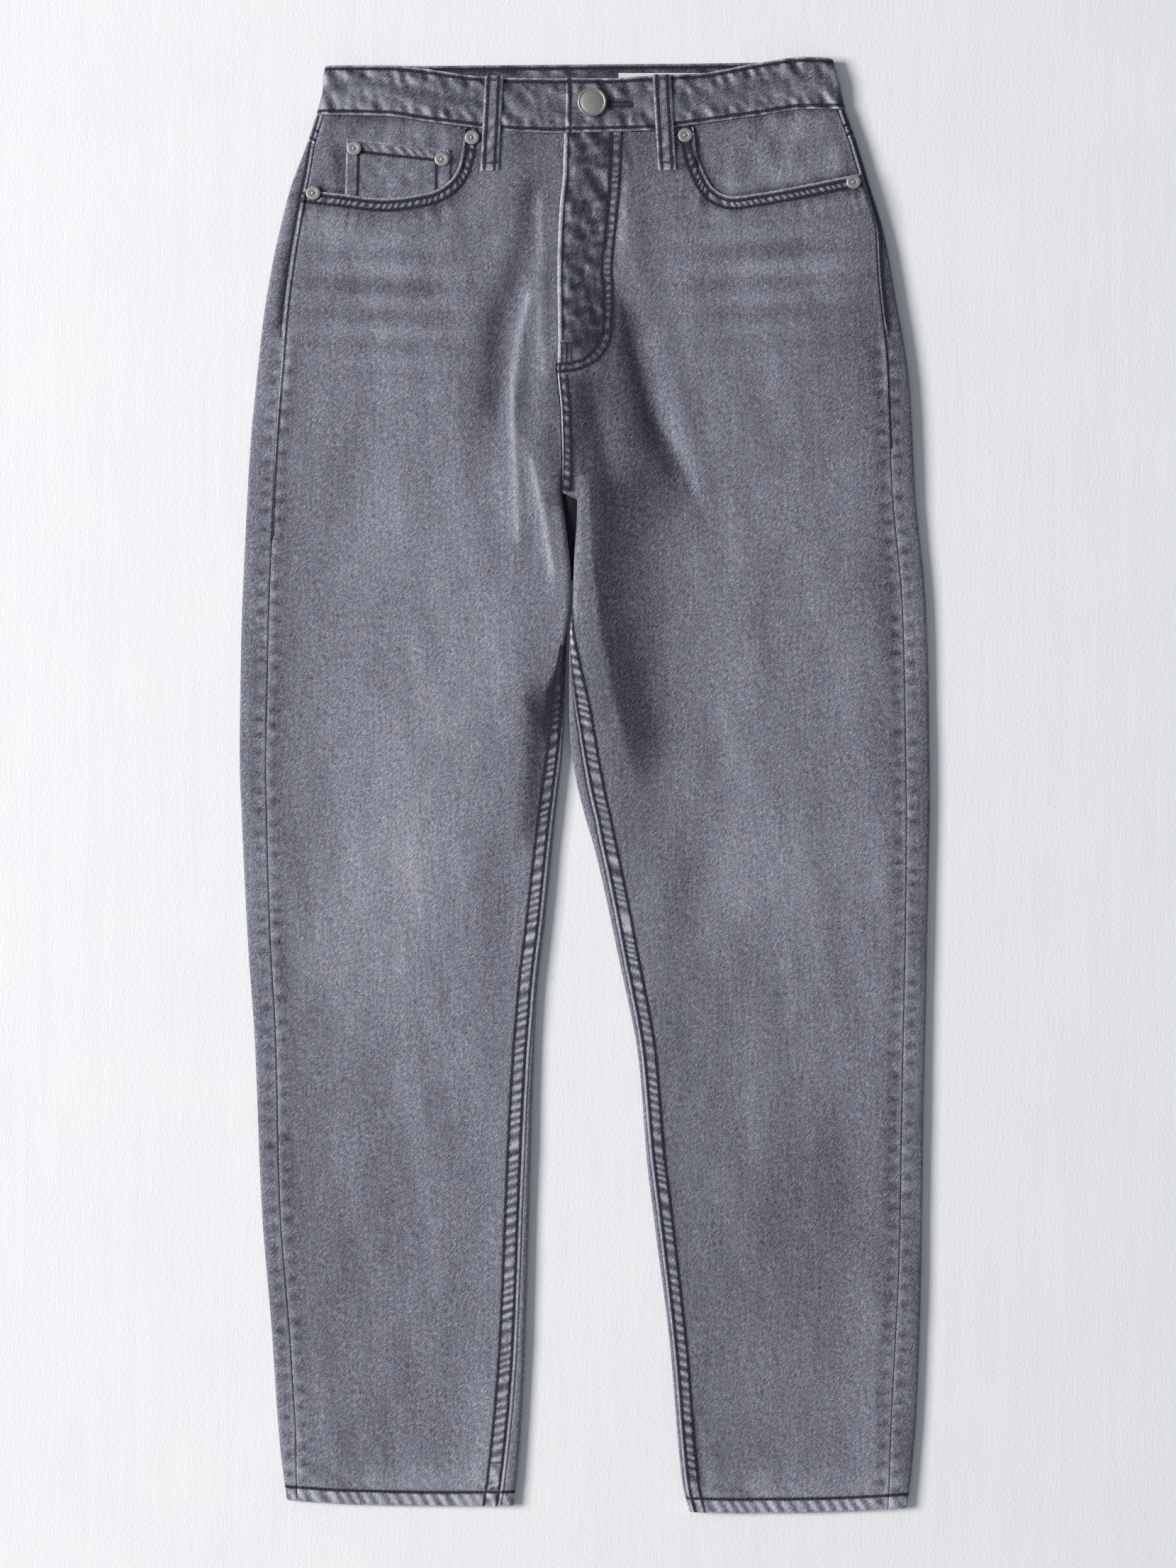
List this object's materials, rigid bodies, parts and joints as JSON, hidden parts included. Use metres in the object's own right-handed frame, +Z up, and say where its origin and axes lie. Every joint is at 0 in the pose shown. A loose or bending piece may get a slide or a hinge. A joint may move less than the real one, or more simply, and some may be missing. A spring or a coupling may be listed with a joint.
{
  "type": "relaxed fit jeans laid flat",
  "caption": "Relaxed fit five-pocket denim jeans lying flat on their back, front up, with a button fly, scooped pockets, belt loops and tapered legs.",
  "frame": {"origin": "middle of the garment's outline, on the surface it lies on", "axes": "+Z up out of the front of the jeans, +Y from hems to waist, +X towards the wearer's left leg"},
  "size_m": [0.4672, 0.9852, 0.016],
  "materials": {
    "denim": "washed violet-grey cotton twill, matt, paler along seams and on thighs and knees",
    "label_cotton": "blank white woven label",
    "pewter": "dull aged pewter, slightly brighter on the domes"
  },
  "bodies": {
    "root": {"front_right": "denim", "front_left": "denim", "back_right": "denim", "back_left": "denim", "yoke_right": "denim", "yoke_left": "denim", "back_pocket_right": "denim", "back_pocket_left": "denim", "pocket_facing_right": "denim", "pocket_facing_left": "denim", "coin_pocket": "denim", "fly_shield": "denim", "waistband": "denim", "belt_loop_front_right": "denim", "belt_loop_front_left": "denim", "belt_loop_back_right": "denim", "belt_loop_back_centre": "denim", "belt_loop_back_left": "denim", "waist_label": "label_cotton", "waist_button": "pewter", "rivet_right_side": "pewter", "rivet_right_upper": "pewter", "rivet_left_side": "pewter", "rivet_left_upper": "pewter", "rivet_coin_outer": "pewter", "rivet_coin_inner": "pewter"}
  },
  "joints": []
}
